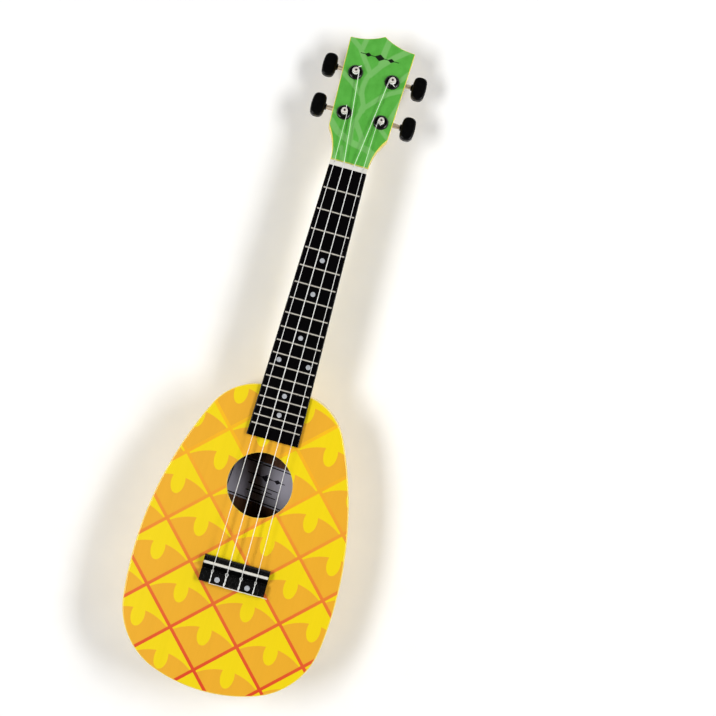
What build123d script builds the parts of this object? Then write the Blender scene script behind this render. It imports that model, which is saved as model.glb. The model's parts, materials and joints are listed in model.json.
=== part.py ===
"""Concert ukulele with a pineapple-shaped body.

It lies on its flat back. +Z is up out of the soundboard, +Y runs from the tail to the head and
+X is to the right of the player's view of the face. The origin is the centre of the footprint,
on the plane of the back. All sizes are in millimetres.
"""

from build123d import *
import math
import os

os.makedirs("parts", exist_ok=True)

# Scale and overall lengths, measured from the front edge of the nut
SCALE = 380.0
FRET_COUNT = 18
TAIL_REACH = 495.6
NUT_DEPTH = 4.8
HEAD_TILT = 13.0
HEAD_LENGTH = 129.3
HEAD_REACH = NUT_DEPTH + HEAD_LENGTH * math.cos(math.radians(HEAD_TILT))
NUT_Y = (TAIL_REACH - HEAD_REACH) / 2

# Body: a chain of tangent arcs (radius, sweep in degrees) from the tail up the right side
BODY_ARCS = [(142.9, 19.8), (68.8, 63.1), (345.2, 32.7), (52.4, 64.4)]
TAIL_Y = NUT_Y - TAIL_REACH
BODY_DEPTH = 65.0
PLATE = 2.0
SIDE_WALL = 2.0
SIDE_JOINT_FROM_TAIL = 143.0
TOP_UNDERSIDE = BODY_DEPTH - PLATE
EDGE_ROUND = 1.4
HOLE_RADIUS = 30.0
HOLE_EDGE_ROUND = 0.4
HOLE_FROM_NUT = 300.0

# Inside the body
LINING_WIDTH = 5.0
LINING_HEIGHT = 8.0
BLOCK_HALF_WIDTH = 30.0
NECK_BLOCK_LENGTH = 26.0
TAIL_BLOCK_LENGTH = 16.0
BLOCK_CORNER = 3.0
BRACE_WIDTH = 7.0
BRACE_SCALLOP = 22.0
BRACE_TIP = 3.0
BRACE_END_GAP = 0.2
TOP_BRACE_HEIGHT = 10.0
TOP_BRACES = (262.0, 337.0)
BACK_BRACE_HEIGHT = 7.0
BACK_BRACES = (262.0, 345.0, 425.0)
FAN_BRACE = (5.0, 6.0, 4.0)
FAN_BRACE_ENDS = (344.0, 464.0)
FAN_BRACE_SPREAD = ((-12.0, -44.0), (0.0, 0.0), (12.0, 44.0))
BRIDGE_PLATE_SIZE = (76.0, 34.0, 2.0)
DOWEL_RADIUS = 4.0
DOWEL_LENGTH = 28.0
DOWEL_IN_HEEL = 8.0
DOWEL_HEIGHTS = (22.0, 52.0)
LABEL_SIZE = (70.0, 39.0, 0.2)
LABEL_X = 2.5
LABEL_FROM_NUT = 302.0
LABEL_TURN = -5.0

# Fretboard
BOARD_LENGTH = 257.5
BOARD_THICK = 4.0
BOARD_TOP = BODY_DEPTH + BOARD_THICK
BOARD_EDGE_ROUND = 0.8
NUT_WIDTH = 35.6
BOARD_END_WIDTH = 49.0
FRET_INSET = 1.4
FRET_CROWN = (2.0, 1.0)
FRET_TANG = (0.6, 1.6)
DOT_FRETS = (5, 7, 10, 12, 15, 17)
DOUBLE_DOT_FRET = 12
DOUBLE_DOT_X = 13.9
DOT_RADIUS = 2.25
DOT_DEPTH = 1.2

# Neck and head. Each heel section is its height, half width and reach from the body.
NECK_DEPTH_AT_NUT = 14.0
NECK_DEPTH_AT_HEEL = 16.0
NECK_FULLNESS = 2.4
NECK_END = (17.0, 1.5, 8.0, 6.0)
SECTION_STEPS = 8
HEEL_CAP_THICK = 1.5
HEEL_FOOT = (11.0, 10.0)
HEEL_RISE = [
    (14.0, 12.5, 11.5),
    (28.0, 15.0, 15.0),
    (40.0, 18.5, 23.0),
    (48.5, 21.5, 38.0),
    (55.0, 22.6, 62.0),
]
HEEL_ROOT = 4.0
HEEL_JOINT_Z = 46.0
HEEL_ROUNDNESS = 0.9
HEAD_FACE_Z = BODY_DEPTH + 1.0
VENEER = 0.8
VENEER_BEVEL = 0.55
HEAD_THICK = 12.3
HEAD_BACK_ROUND = 1.2
HEAD_BASE_HALF = NUT_WIDTH / 2
HEAD_FLARE_RADIUS = 56.0
HEAD_FLARE_SWEEP = 35.0
HEAD_TOP_HALF = 31.1
HEAD_TOP_CORNER = 120.5
HEAD_CORNER_ROUNDS = (4.0, 1.2)

# Nut, bridge and saddle
NUT_TOP = 71.0
NUT_ROUND = 1.6
NUT_GAP = 0.02
BRIDGE_HALF = 30.85
BRIDGE_FRONT = 373.0
BRIDGE_REAR = 397.5
BRIDGE_TOP = 72.0
BRIDGE_CHANNEL = 67.2
BRIDGE_BEVEL = 1.4
SADDLE_FROM_NUT = SCALE - 0.5
SADDLE_THICK = 2.6
SADDLE_TOP = 74.4
SADDLE_SEAT = 68.5
SADDLE_END_GAP = 0.3
TIE_FRONT = 387.0
TIE_TOP = 71.6
TIE_EDGE = 0.4
TIE_HOLE_Z = 68.2
TIE_HOLE_RADIUS = 0.95
BRIDGE_SCREW_X = 14.2
BRIDGE_SCREW_FROM_NUT = 393.2
BRIDGE_SCREW_BORE = 1.6
BRIDGE_SCREW_SHANK = (1.5, 57.4)
BRIDGE_SCREW_HEAD = (2.4, 2.0)
BRIDGE_SCREW_SLOT = (0.35, 0.7)
BRIDGE_WASHER = (3.5, 0.6)
BRIDGE_NUT = (3.1, 2.4)
SCREW_CAP = (2.5, 1.2)
CAP_POCKET = 3.4

# Strings: gauge, place at the nut, place at the saddle, post side and row
STRINGS = {
    "g": (0.62, -13.6, -20.4, -1, "near"),
    "c": (0.88, -4.55, -6.8, -1, "far"),
    "e": (0.80, 4.55, 6.8, 1, "far"),
    "a": (0.58, 13.6, 20.4, 1, "near"),
}
STRING_GAP = 0.03
STRING_AT_NUT = 70.35
NUT_BEND = 2.0
NUT_BEND_RADIUS = 6.0
BREAK_ANGLE = 47.0
TIE_BEND = 1.0
TIE_MOUTH_BEND = 1.2
TIE_GAP = (0.15, 0.05)
TIE_END = 0.6
POST_STOP = 3.2

# Tuners: places of the posts on the head face, then the shared worm drive
POST_X = 17.5
POST_ROWS = {"near": 46.8, "far": 87.4}
POST_RADIUS = 2.7
POST_TOP = 8.2
POST_TOP_ROUND = 0.5
POST_DIMPLE = (0.5, 1.3, 1.0)
POST_HOLE = (0.65, 5.3)
POST_HOLE_TURN = 105.0
WAIST_RADIUS = 2.5
WAIST = (2.9, 6.2)
WINDING_BASE = 3.4
WINDING_TURNS = 3
RUNNING_GAP = 0.05
BUSHING_RADIUS = 7.0
BUSHING_HEIGHT = 2.4
BUSHING_DOME = 1.9
BUSHING_SHANK = (4.0, 8.0)
POST_BORE = 3.1
PLATE_THICK = 1.2
PLATE_OUTLINE = (13.6, 30.4, 3.0)
PLATE_OFFSET = 2.2
PLATE_BACK = -HEAD_THICK - PLATE_THICK
PLATE_SCREWS = (-9.2, 13.6)
SCREW_HEAD = (2.1, 1.2)
SCREW_HEAD_ROUND = 0.7
SCREW_SHANK = (1.0, 8.0)
SCREW_CROSS = (2.2, 0.5, 0.5)
SCREW_TIP = PLATE_BACK + SCREW_SHANK[1]
GEAR_TEETH = 14
GEAR_RADIUS = 4.4
WORM_RADIUS = 2.2
WORM_PITCH = 2 * math.pi * GEAR_RADIUS / GEAR_TEETH
WORM_TURNS = 3
ADDENDUM = 0.6
DEDENDUM = 0.75
GEAR_TOOTH_HALF = (0.50, 0.21)
WORM_TOOTH_HALF = (0.50, 0.20)
WORM_TOOTH_SINK = 0.15
CENTRE_DISTANCE = GEAR_RADIUS + WORM_RADIUS
WORM_DEPTH = -16.8
GEAR_THICK = 3.6
GEAR_TOP = WORM_DEPTH + GEAR_THICK / 2
GEAR_BOTTOM = WORM_DEPTH - GEAR_THICK / 2
GEAR_SEAT_RADIUS = 2.0
GEAR_SCREW_HEAD = (2.3, 1.4, 0.5)
GEAR_SCREW_SHANK = (1.0, 4.6)
GEAR_SCREW_SLOT = (0.35, 0.6)
GEAR_SCREW_BORE = 5.0
SHAFT_RADIUS = 2.0
SHAFT_END = 0.6
SHAFT_OVERLAP = 0.3
SHAFT_COLLAR = (2.9, 1.2)
SPINDLE_RADII = (2.5, 2.0)
SPINDLE_END = (1.6, 7.0)
EAR = (5.2, 1.4, 3.7)
BUTTON_CENTRE = 25.5
BUTTON_SIZE = (13.4, 22.8, 7.4)
BUTTON_BULGE = 1.3
BUTTON_CORNER = 5.0
BUTTON_EDGE = 1.8
BUTTON_BOSS = (3.0, 1.0)
BOSS_SINK = 2.0

HEAD = Plane(
    origin=(0, NUT_Y + NUT_DEPTH, HEAD_FACE_Z),
    x_dir=(1, 0, 0),
    z_dir=(0, math.sin(math.radians(HEAD_TILT)), math.cos(math.radians(HEAD_TILT))),
)


def save(shape, name):
    """Write one sub-part as its own STEP file."""
    export_step(shape, f"parts/{name}.step")


def from_nut(distance):
    """Y of a point this far from the nut towards the tail."""
    return NUT_Y - distance


def block(x_range, y_range, z_range):
    """Box between two limits on each axis."""
    size = [high - low for low, high in (x_range, y_range, z_range)]
    centre = [(high + low) / 2 for low, high in (x_range, y_range, z_range)]
    return Pos(*centre) * Box(*size)


def rod(radius, low, high):
    """Cylinder on the Z axis between two heights."""
    return Pos(0, 0, (low + high) / 2) * Cylinder(radius, high - low)


def group(solids):
    """Several loose solids as one sub-part."""
    return Compound(children=list(solids))


# ---------------------------------------------------------------- body plan

def arc_chain(inset):
    """Right half of the body outline: (centre, radius, start heading, sweep) of each arc."""
    chain = []
    heading = 0.0
    x, y = 0.0, TAIL_Y + inset
    for outer_radius, sweep in BODY_ARCS:
        radius = outer_radius - inset
        start = math.radians(heading)
        centre = (x - radius * math.sin(start), y + radius * math.cos(start))
        chain.append((centre, radius, heading, sweep))
        heading += sweep
        end = math.radians(heading)
        x = centre[0] + radius * math.sin(end)
        y = centre[1] - radius * math.cos(end)
    return chain, (x, y)


def body_plan(inset=0.0):
    """Plan of the body as a face, moved inwards by the inset."""
    chain, (shoulder_x, shoulder_y) = arc_chain(inset)
    right = [CenterArc(centre, radius, start - 90, sweep) for centre, radius, start, sweep in chain]
    left = [edge.mirror(Plane.YZ) for edge in right]
    top = Line((shoulder_x, shoulder_y), (-shoulder_x, shoulder_y))
    return make_face(right + [top] + left)


def body_slab(inset, low, high):
    """The body plan as a solid between two heights."""
    return Pos(0, 0, low) * extrude(body_plan(inset), high - low)


def half_width(y, inset):
    """Half width of the body plan at a place along the length."""
    for (centre_x, centre_y), radius, heading, sweep in arc_chain(inset)[0]:
        low = centre_y - radius * math.cos(math.radians(heading))
        high = centre_y - radius * math.cos(math.radians(heading + sweep))
        if low <= y <= high:
            return centre_x + math.sqrt(radius**2 - (y - centre_y) ** 2)
    raise ValueError("outside the body")


SHOULDER_Y = arc_chain(0.0)[1][1]
HOLE_Y = from_nut(HOLE_FROM_NUT)
BRIDGE_SCREW_PLACES = [(side * BRIDGE_SCREW_X, from_nut(BRIDGE_SCREW_FROM_NUT)) for side in (-1, 1)]
DOWEL = Rot(90, 0, 0) * Cylinder(DOWEL_RADIUS, DOWEL_LENGTH)
DOWEL_Y = SHOULDER_Y + DOWEL_IN_HEEL - DOWEL_LENGTH / 2
DOWELS = [Pos(0, DOWEL_Y, z) * DOWEL for z in DOWEL_HEIGHTS]


def soundboard():
    """Face plate with the sound hole and two screw holes."""
    plate = body_slab(0.0, TOP_UNDERSIDE, BODY_DEPTH)
    plate = fillet(plate.faces().sort_by(Axis.Z)[-1].edges(), EDGE_ROUND)
    plate -= Pos(0, HOLE_Y, 0) * rod(HOLE_RADIUS, TOP_UNDERSIDE - 1, BODY_DEPTH + 1)
    circles = plate.edges().filter_by(GeomType.CIRCLE)
    rim = circles.filter_by(lambda edge: abs(edge.radius - HOLE_RADIUS) < 1e-6)
    plate = fillet(rim.sort_by(Axis.Z)[-1], HOLE_EDGE_ROUND)
    for x, y in BRIDGE_SCREW_PLACES:
        plate -= Pos(x, y, 0) * rod(BRIDGE_SCREW_BORE, TOP_UNDERSIDE - 1, BODY_DEPTH + 1)
    return plate


def back_plate():
    """Flat back that the instrument lies on."""
    plate = body_slab(0.0, 0.0, PLATE)
    return fillet(plate.faces().sort_by(Axis.Z)[0].edges(), EDGE_ROUND)


def sides():
    """Left and right sides, each of an upper and a lower bent length butted at mid body."""
    ring = body_slab(0.0, PLATE, TOP_UNDERSIDE) - body_slab(SIDE_WALL, PLATE, TOP_UNDERSIDE)
    for dowel in DOWELS:
        ring -= dowel
    joint = TAIL_Y + SIDE_JOINT_FROM_TAIL
    pair = []
    for x_range in ((-120, 0), (0, 120)):
        lower = ring & block(x_range, (TAIL_Y - 5, joint), (0, BODY_DEPTH))
        upper = ring & block(x_range, (joint, SHOULDER_Y + 5), (0, BODY_DEPTH))
        pair.append(group([lower, upper]))
    return pair


def block_space(end):
    """Space of the neck block or the tail block inside the sides."""
    inner = body_slab(SIDE_WALL, PLATE, TOP_UNDERSIDE)
    if end == "neck":
        y_range = (SHOULDER_Y - SIDE_WALL - NECK_BLOCK_LENGTH, SHOULDER_Y)
    else:
        y_range = (TAIL_Y, TAIL_Y + SIDE_WALL + TAIL_BLOCK_LENGTH)
    return inner & block((-BLOCK_HALF_WIDTH, BLOCK_HALF_WIDTH), y_range, (0, BODY_DEPTH))


def end_block(end):
    """Solid wood block that ties the plates together at one end."""
    wood = block_space(end)
    upright = wood.edges().filter_by(Axis.Z)
    inner = upright.sort_by(Axis.Y)[:2] if end == "neck" else upright.sort_by(Axis.Y)[-2:]
    wood = fillet(inner, BLOCK_CORNER)
    if end == "neck":
        for dowel in DOWELS:
            wood -= dowel
    return wood


def linings(low):
    """Glue strips round the inside of the sides, between the two blocks."""
    high = low + LINING_HEIGHT
    ring = body_slab(SIDE_WALL, low, high) - body_slab(SIDE_WALL + LINING_WIDTH, low, high)
    return ring - block_space("neck") - block_space("tail")


def cross_brace(distance, top_side, height):
    """Brace across the body whose ends are thinned where they meet the linings."""
    y = from_nut(distance)
    lining_face = SIDE_WALL + LINING_WIDTH
    half = min(half_width(y + reach, lining_face) for reach in (-BRACE_WIDTH / 2, BRACE_WIDTH / 2))
    half -= BRACE_END_GAP
    glued = TOP_UNDERSIDE if top_side else PLATE
    inward = -1 if top_side else 1
    corners = [
        (-half, glued),
        (half, glued),
        (half, glued + inward * BRACE_TIP),
        (half - BRACE_SCALLOP, glued + inward * height),
        (-half + BRACE_SCALLOP, glued + inward * height),
        (-half, glued + inward * BRACE_TIP),
    ]
    profile = make_face(Polyline(*corners, close=True))
    return Pos(0, y + BRACE_WIDTH / 2, 0) * Rot(90, 0, 0) * extrude(profile, BRACE_WIDTH)


def bridge_pad():
    """Space of the pad under the bridge."""
    centre_y = from_nut((BRIDGE_FRONT + BRIDGE_REAR) / 2)
    return Pos(0, centre_y, TOP_UNDERSIDE - BRIDGE_PLATE_SIZE[2] / 2) * Box(*BRIDGE_PLATE_SIZE)


def bridge_plate():
    """Hardwood pad under the bridge, drilled for its screws."""
    pad = bridge_pad()
    for x, y in BRIDGE_SCREW_PLACES:
        pad -= Pos(x, y, 0) * rod(BRIDGE_SCREW_BORE, TOP_UNDERSIDE - 5, TOP_UNDERSIDE + 1)
    return pad


def fan_braces():
    """Three slim braces that spread from below the hole to the tail, notched over the pad."""
    width, height, taper = FAN_BRACE
    start_y, end_y = (from_nut(distance) for distance in FAN_BRACE_ENDS)
    notch = bridge_pad()
    bars = []
    for start_x, end_x in FAN_BRACE_SPREAD:
        start = Vector(start_x, start_y)
        run = Vector(end_x, end_y) - start
        middle = start + run / 2
        bar = Box(run.length, width, height)
        bar = chamfer(bar.edges().filter_by(Axis.Y).sort_by(Axis.Z)[:2], taper)
        turn = Rot(0, 0, math.degrees(math.atan2(run.Y, run.X)))
        bars.append(Pos(middle.X, middle.Y, TOP_UNDERSIDE - height / 2) * turn * bar - notch)
    return group(bars)


def soundhole_label():
    """Paper label glued to the back under the sound hole, set slightly askew."""
    place = Pos(LABEL_X, from_nut(LABEL_FROM_NUT), PLATE + LABEL_SIZE[2] / 2)
    return place * Rot(0, 0, LABEL_TURN) * Box(*LABEL_SIZE)


# ---------------------------------------------------------------- fretboard

def fret_distance(number):
    """Distance of a fret from the nut in equal temperament."""
    return SCALE * (1 - 2 ** (-number / 12))


def board_half(distance):
    """Half width of the fretboard at a distance from the nut."""
    share = distance / BOARD_LENGTH
    return (NUT_WIDTH + (BOARD_END_WIDTH - NUT_WIDTH) * share) / 2


def dot_places():
    """Centres of the position dots."""
    places = []
    for number in DOT_FRETS:
        y = from_nut((fret_distance(number - 1) + fret_distance(number)) / 2)
        across = (-DOUBLE_DOT_X, DOUBLE_DOT_X) if number == DOUBLE_DOT_FRET else (0.0,)
        places += [(x, y) for x in across]
    return places


def fret_tang(number):
    """The part of a fret that sits in its slot."""
    half = board_half(fret_distance(number)) - FRET_INSET
    thick, depth = FRET_TANG
    y = from_nut(fret_distance(number))
    return block((-half, half), (y - thick / 2, y + thick / 2), (BOARD_TOP - depth, BOARD_TOP))


def frets():
    """Tang and domed crown of every fret."""
    wires = []
    width, height = FRET_CROWN
    crown_radius = (width**2 / 4 + height**2) / (2 * height)
    for number in range(1, FRET_COUNT + 1):
        half = board_half(fret_distance(number)) - FRET_INSET
        y = from_nut(fret_distance(number))
        bead = Rot(0, 90, 0) * Cylinder(crown_radius, 2 * half)
        dome = block((-half, half), (y - width, y + width), (BOARD_TOP, BOARD_TOP + 2 * height))
        crown = Pos(0, y, BOARD_TOP + height - crown_radius) * bead & dome
        wires.append(crown + fret_tang(number))
    return group(wires)


def fretboard():
    """Tapered board with slots for the frets and pockets for the dots."""
    near = board_half(0)
    far = board_half(BOARD_LENGTH)
    near_y = from_nut(0)
    far_y = from_nut(BOARD_LENGTH)
    corners = [(-near, near_y), (near, near_y), (far, far_y), (-far, far_y)]
    board = Pos(0, 0, BODY_DEPTH) * extrude(make_face(Polyline(*corners, close=True)), BOARD_THICK)
    top_edges = board.faces().sort_by(Axis.Z)[-1].edges()
    board = fillet([edge for edge in top_edges if edge.length > BOARD_END_WIDTH + 1], BOARD_EDGE_ROUND)
    for number in range(1, FRET_COUNT + 1):
        board -= fret_tang(number)
    for x, y in dot_places():
        board -= Pos(x, y, 0) * rod(DOT_RADIUS, BOARD_TOP - DOT_DEPTH, BOARD_TOP + 1)
    return board


def position_dots():
    """Pearl dots set flush with the board."""
    return group(Pos(x, y, 0) * rod(DOT_RADIUS, BOARD_TOP - DOT_DEPTH, BOARD_TOP) for x, y in dot_places())


# ---------------------------------------------------------------- neck and head

def head_half_outline():
    """Right half of the head outline on the head plane, from the nut up to the tip."""
    flare_end = math.radians(180 - HEAD_FLARE_SWEEP)
    flare_centre = (HEAD_BASE_HALF + HEAD_FLARE_RADIUS, 0)
    corner = (
        flare_centre[0] + HEAD_FLARE_RADIUS * math.cos(flare_end),
        HEAD_FLARE_RADIUS * math.sin(flare_end),
    )
    rise = HEAD_LENGTH - HEAD_TOP_CORNER
    top_radius = (HEAD_TOP_HALF**2 + rise**2) / (2 * rise)
    top_sweep = math.degrees(math.asin(HEAD_TOP_HALF / top_radius))
    return [
        CenterArc(flare_centre, HEAD_FLARE_RADIUS, 180, -HEAD_FLARE_SWEEP),
        Line(corner, (HEAD_TOP_HALF, HEAD_TOP_CORNER)),
        CenterArc((HEAD_TOP_HALF, HEAD_TOP_CORNER + top_radius), top_radius, 270, -top_sweep),
    ]


def head_plan():
    """Face of the head: flared base, straight sides and a top that sweeps up to a point."""
    right = head_half_outline()
    left = [edge.mirror(Plane.YZ) for edge in right]
    base = Line((-HEAD_BASE_HALF, 0), (HEAD_BASE_HALF, 0))
    face = make_face(right + left + [base])
    flare_round, top_round = HEAD_CORNER_ROUNDS
    outer = face.vertices().filter_by(lambda v: abs(v.X) > HEAD_BASE_HALF + 1)
    low = outer.filter_by(lambda v: v.Y < HEAD_TOP_CORNER - 10)
    face = fillet(low, flare_round)
    high = face.vertices().filter_by(lambda v: abs(abs(v.X) - HEAD_TOP_HALF) < 0.01)
    return fillet(high, top_round)


def behind_nut():
    """Everything on the tail side of the nut's rear face and above the neck's top plane."""
    return block((-40, 40), (NUT_Y - 40, NUT_Y + NUT_DEPTH), (BODY_DEPTH, BODY_DEPTH + 20))


def head_veneer():
    """Thin printed face on the head, with a fine bevel along its outer edge."""
    sheet = HEAD * (Pos(0, 0, -VENEER) * extrude(head_plan(), VENEER))
    face = sheet.faces().filter_by(lambda f: f.normal_at().Z > 0.9).sort_by(Axis.Z)[-1]
    rim = [edge for edge in face.edges() if edge.center().Y > NUT_Y + NUT_DEPTH + 0.5]
    sheet = chamfer(rim, VENEER_BEVEL)
    sheet -= behind_nut()
    for side in (-1, 1):
        for row in POST_ROWS.values():
            sheet -= HEAD * (Pos(side * POST_X, row, 0) * rod(BUSHING_SHANK[0], -5, 5))
    return sheet


def neck_section(distance, half, top, depth):
    """Flat-topped round-backed section across the neck."""
    power = 2 / NECK_FULLNESS
    points = []
    for step in range(SECTION_STEPS + 1):
        angle = math.pi * step / SECTION_STEPS
        across = half * math.copysign(abs(math.cos(angle)) ** power, math.cos(angle))
        points.append(Vector(across, from_nut(distance), top - depth * math.sin(angle) ** power))
    back = Spline(*points, tangents=[(0, 0, -1), (0, 0, 1)])
    return make_face([back, Line(points[-1], points[0])])


def heel_section(z, half, length):
    """Rounded nose of the heel at one height, as seen from below."""
    root = SHOULDER_Y - HEEL_ROOT
    points = []
    for step in range(SECTION_STEPS + 1):
        angle = math.pi * step / SECTION_STEPS
        reach = (length + HEEL_ROOT) * math.sin(angle) ** HEEL_ROUNDNESS
        points.append(Vector(half * math.cos(angle), root + reach, z))
    nose = Spline(*points, tangents=[(0, 1, 0), (0, -1, 0)])
    return make_face([nose, Line(points[-1], points[0])])


def head_core():
    """Wooden head behind the veneer, bored for the posts and drilled for the plate screws."""
    base = [
        (-HEAD_BASE_HALF, -6),
        (HEAD_BASE_HALF, -6),
        (HEAD_BASE_HALF, 0.5),
        (-HEAD_BASE_HALF, 0.5),
    ]
    plan = head_plan() + make_face(Polyline(*base, close=True))
    core = Pos(0, 0, -HEAD_THICK) * extrude(plan, HEAD_THICK - VENEER)
    back = core.faces().sort_by(Axis.Z)[0]
    rim = [edge for edge in back.edges() if edge.center().Y > 8]
    core = fillet(rim, HEAD_BACK_ROUND)
    shank_radius, shank_length = BUSHING_SHANK
    bores = rod(shank_radius, -shank_length, 1) + rod(POST_BORE, -HEAD_THICK - 1, -shank_length + 0.5)
    for offset in PLATE_SCREWS:
        bores += Pos(0, offset, 0) * rod(SCREW_SHANK[0], -HEAD_THICK - 1, SCREW_TIP)
    for side in (-1, 1):
        for row in POST_ROWS.values():
            core -= Pos(side * POST_X, row, 0) * bores
    return HEAD * core - behind_nut()


def neck_wood():
    """Neck shaft, heel and head before the heel block is parted off."""
    joint = NUT_Y - SHOULDER_Y + HEEL_ROOT
    end_length, narrower, lower, end_depth = NECK_END
    sections = [
        neck_section(-NUT_DEPTH - end_length, NUT_WIDTH / 2 - narrower, BODY_DEPTH - lower, end_depth),
        neck_section(-NUT_DEPTH, NUT_WIDTH / 2, BODY_DEPTH, NECK_DEPTH_AT_NUT),
        neck_section(0, NUT_WIDTH / 2, BODY_DEPTH, NECK_DEPTH_AT_NUT),
        neck_section(joint, board_half(joint), BODY_DEPTH, NECK_DEPTH_AT_HEEL),
    ]
    shaft = loft(sections, ruled=True)
    heel = loft([heel_section(HEEL_CAP_THICK, *HEEL_FOOT)] + [heel_section(*rise) for rise in HEEL_RISE])
    wood = shaft + heel + head_core()
    wood -= body_slab(0.0, -1.0, BODY_DEPTH + 1)
    for dowel in DOWELS:
        wood -= dowel
    return wood


def neck_and_heel():
    """Neck with its head, and the heel block stacked under its root."""
    wood = neck_wood()
    stack = block((-NUT_WIDTH, NUT_WIDTH), (SHOULDER_Y - HEEL_ROOT, NUT_Y - NECK_END[0]), (0, HEEL_JOINT_Z))
    return wood - stack, wood & stack


def heel_cap():
    """Thin cap on the foot of the heel, level with the back."""
    sole = heel_section(0.0, *HEEL_FOOT)
    return extrude(sole, HEEL_CAP_THICK, dir=(0, 0, 1)) - body_slab(0.0, -1.0, BODY_DEPTH)


# ---------------------------------------------------------------- nut, bridge and saddle

def bridge():
    """Tie-bar bridge: saddle slot, channel, tie block with string holes and screw pockets."""
    side_profile = [
        (BRIDGE_FRONT, BODY_DEPTH),
        (BRIDGE_FRONT, BRIDGE_TOP - BRIDGE_BEVEL),
        (BRIDGE_FRONT + BRIDGE_BEVEL, BRIDGE_TOP),
        (SADDLE_FROM_NUT + 2.0, BRIDGE_TOP),
        (SADDLE_FROM_NUT + 6.0, BRIDGE_CHANNEL),
        (TIE_FRONT, BRIDGE_CHANNEL),
        (TIE_FRONT, TIE_TOP - TIE_EDGE),
        (TIE_FRONT + TIE_EDGE, TIE_TOP),
        (BRIDGE_REAR - TIE_EDGE, TIE_TOP),
        (BRIDGE_REAR, TIE_TOP - TIE_EDGE),
        (BRIDGE_REAR, BODY_DEPTH),
    ]
    outline = make_face(Polyline(*[(0, from_nut(d), z) for d, z in side_profile], close=True))
    bar = extrude(outline, BRIDGE_HALF, dir=(1, 0, 0), both=True)
    bar -= saddle_space(BRIDGE_HALF + 1)
    hole = Rot(90, 0, 0) * Cylinder(TIE_HOLE_RADIUS, BRIDGE_REAR - TIE_FRONT + 2)
    for _, _, x, _, _ in STRINGS.values():
        bar -= Pos(x, from_nut((BRIDGE_REAR + TIE_FRONT) / 2), TIE_HOLE_Z) * hole
    for x, y in BRIDGE_SCREW_PLACES:
        bar -= Pos(x, y, 0) * rod(SCREW_CAP[0], TIE_TOP - CAP_POCKET, TIE_TOP + 1)
        bar -= Pos(x, y, 0) * rod(BRIDGE_SCREW_BORE, BODY_DEPTH - 1, TIE_TOP)
    return bar


def saddle_space(half):
    """Slot that the saddle stands in."""
    y = from_nut(SADDLE_FROM_NUT)
    y_range = (y - SADDLE_THICK / 2, y + SADDLE_THICK / 2)
    return block((-half, half), y_range, (SADDLE_SEAT, BODY_DEPTH + 20))


def saddle():
    """Saddle with a fully rounded top and softened ends."""
    half = BRIDGE_HALF - SADDLE_END_GAP
    y = from_nut(SADDLE_FROM_NUT)
    crown = SADDLE_THICK / 2
    blade = block((-half, half), (y - crown, y + crown), (SADDLE_SEAT, SADDLE_TOP - crown))
    bead = Pos(0, y, SADDLE_TOP - crown) * Rot(0, 90, 0) * Cylinder(crown, 2 * half)
    bar = blade + bead
    ends = bar.edges().filter_by(Axis.Z)
    return fillet(ends, 1.0)


def bridge_screws():
    """Slotted machine screws that pull the bridge down."""
    head_radius, head_height = BRIDGE_SCREW_HEAD
    shank_radius, shank_foot = BRIDGE_SCREW_SHANK
    slot_half, slot_depth = BRIDGE_SCREW_SLOT
    seat = TIE_TOP - CAP_POCKET
    top = seat + head_height
    screw = rod(head_radius, seat, top) + rod(shank_radius, shank_foot, seat)
    screw -= block((-head_radius, head_radius), (-slot_half, slot_half), (top - slot_depth, top + 1))
    return group(Pos(x, y, 0) * screw for x, y in BRIDGE_SCREW_PLACES)


def bridge_screw_caps():
    """Pearl caps over the screw heads."""
    radius, thick = SCREW_CAP
    return group(Pos(x, y, 0) * rod(radius, TIE_TOP - thick, TIE_TOP + 0.1) for x, y in BRIDGE_SCREW_PLACES)


def bridge_nuts():
    """Washer and hexagon nut under the bridge plate at each screw."""
    seat = TOP_UNDERSIDE - BRIDGE_PLATE_SIZE[2]
    washer_radius, washer_thick = BRIDGE_WASHER
    nut_radius, nut_height = BRIDGE_NUT
    shank_radius = BRIDGE_SCREW_SHANK[0]
    washer = rod(washer_radius, seat - washer_thick, seat) - rod(shank_radius + 0.05, seat - 1, seat + 1)
    foot = seat - washer_thick - nut_height
    hexagon = Pos(0, 0, foot) * extrude(RegularPolygon(nut_radius, 6), nut_height)
    hexagon -= rod(shank_radius, foot - 1, seat)
    return group(Pos(x, y, 0) * solid for x, y in BRIDGE_SCREW_PLACES for solid in (washer, hexagon))


# ---------------------------------------------------------------- strings

def post_place(side, row):
    """Post axis on the head face, as (x, along) on the head plane."""
    return side * POST_X, POST_ROWS[row]


def winding_radius(gauge):
    """Radius of the middle of a strand wound on a post."""
    return WAIST_RADIUS + STRING_GAP + gauge / 2


def nut_point(gauge, nut_x):
    """Bend of a string over the nut."""
    return Vector(nut_x, NUT_Y + NUT_BEND, STRING_AT_NUT + gauge / 2)


def string_touch(name):
    """Point where the string's middle first touches its winding."""
    gauge, nut_x, _, side, row = STRINGS[name]
    start = HEAD.to_local_coords(nut_point(gauge, nut_x))
    post_x, post_v = post_place(side, row)
    dx, dy = post_x - start.X, post_v - start.Y
    reach = math.hypot(dx, dy)
    lean = math.asin(winding_radius(gauge) / reach)
    heading = math.atan2(dy, dx) + side * lean
    run = reach * math.cos(lean)
    local = Vector(start.X + run * math.cos(heading), start.Y + run * math.sin(heading), WINDING_BASE)
    return HEAD.from_local_coords(local)


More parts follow.
